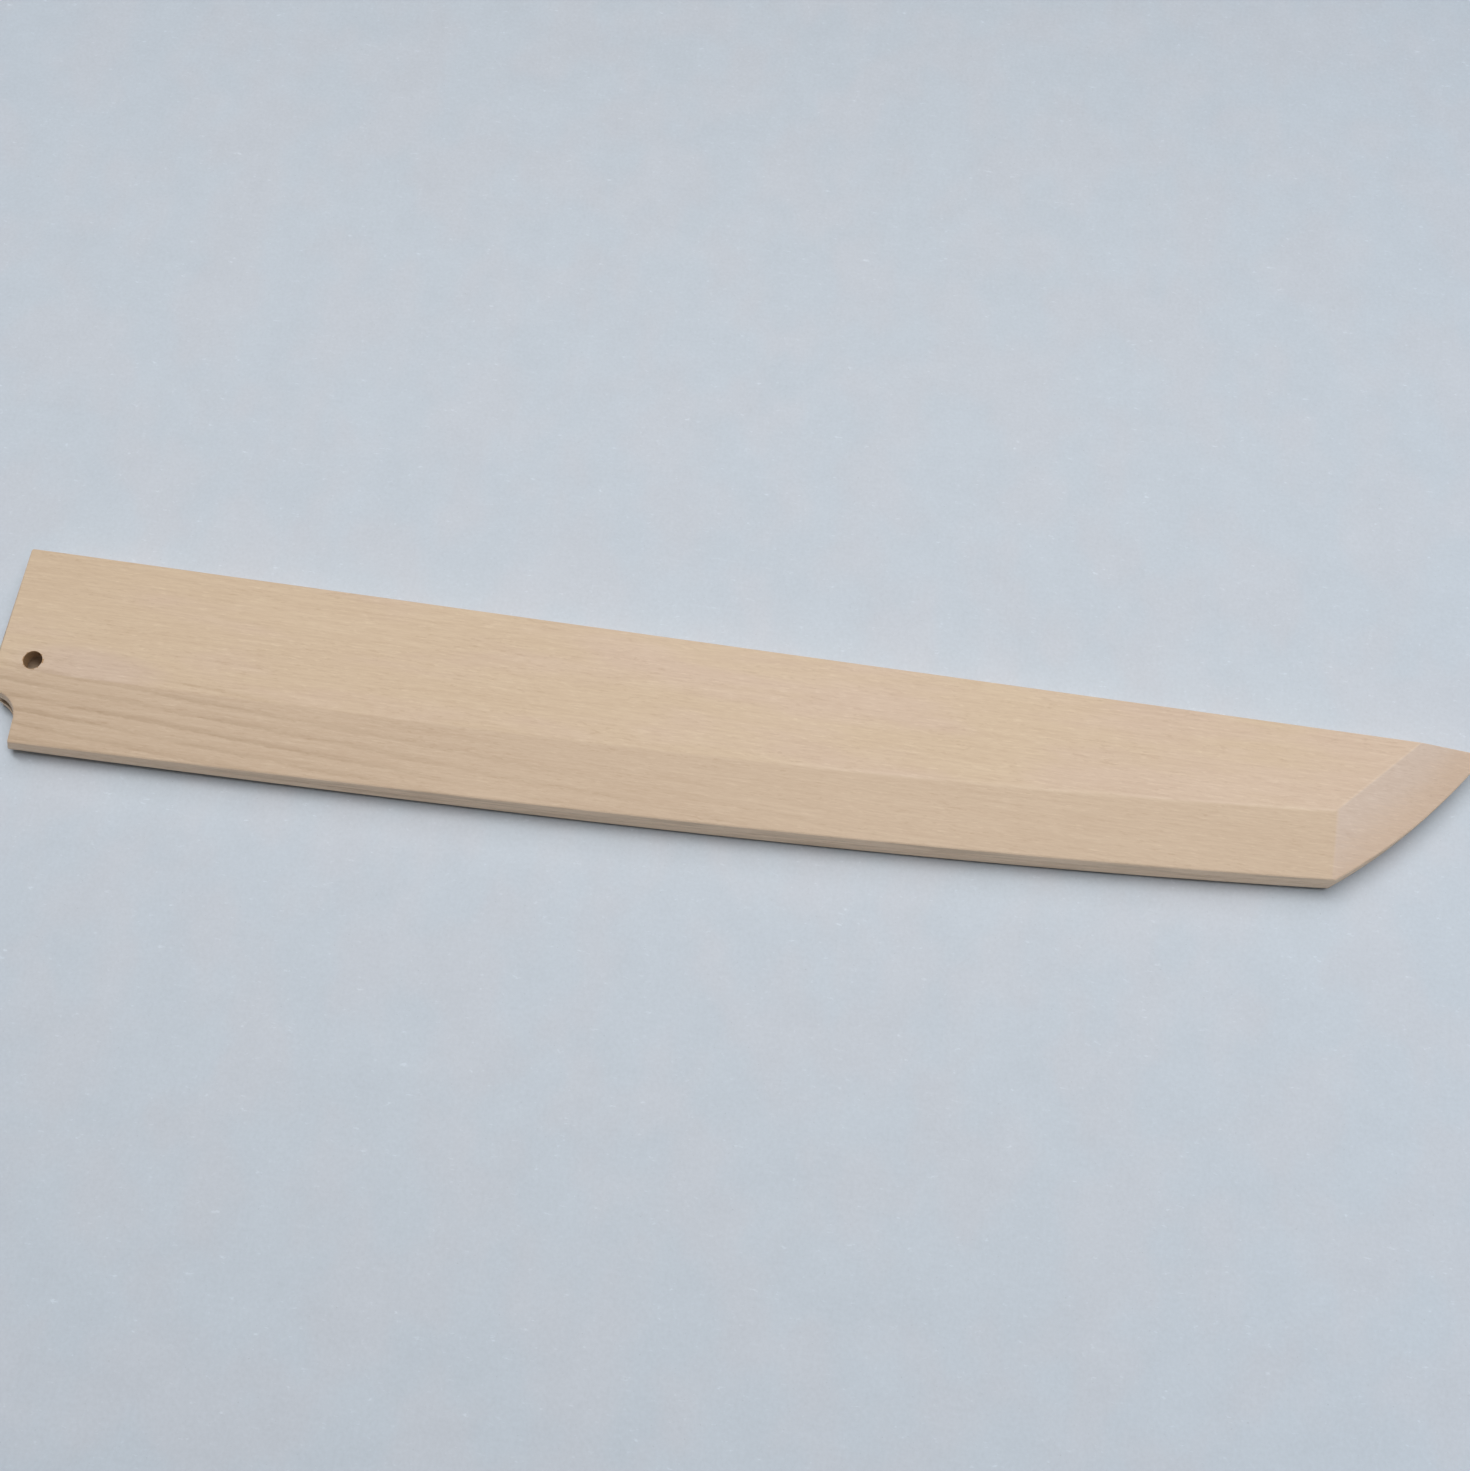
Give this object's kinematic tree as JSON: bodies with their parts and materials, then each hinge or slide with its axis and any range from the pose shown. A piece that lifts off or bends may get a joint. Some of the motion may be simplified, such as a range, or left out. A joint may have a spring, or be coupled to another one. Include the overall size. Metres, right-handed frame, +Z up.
{
  "type": "knife sheath",
  "caption": "Wooden sheath for a long single-bevel slicing knife, made of two carved boards glued together, with a slanted tip, a heel notch at the mouth and a hole for a retaining pin.",
  "frame": {"origin": "middle of the sheath's outline, on the surface that its back face lies on", "axes": "+X along the length towards the tip, +Y across the width towards the straight spine side, +Z up through the thickness towards the front face"},
  "size_m": [0.31, 0.0434, 0.009],
  "materials": {
    "front_wood": "planed and unfinished, pale and fine-grained, with faint growth lines along the length",
    "back_wood": "planed and unfinished, pale and fine-grained, a shade greyer than the front board"
  },
  "bodies": {
    "root": {"front_board": "front_wood", "back_board": "back_wood"}
  },
  "joints": []
}
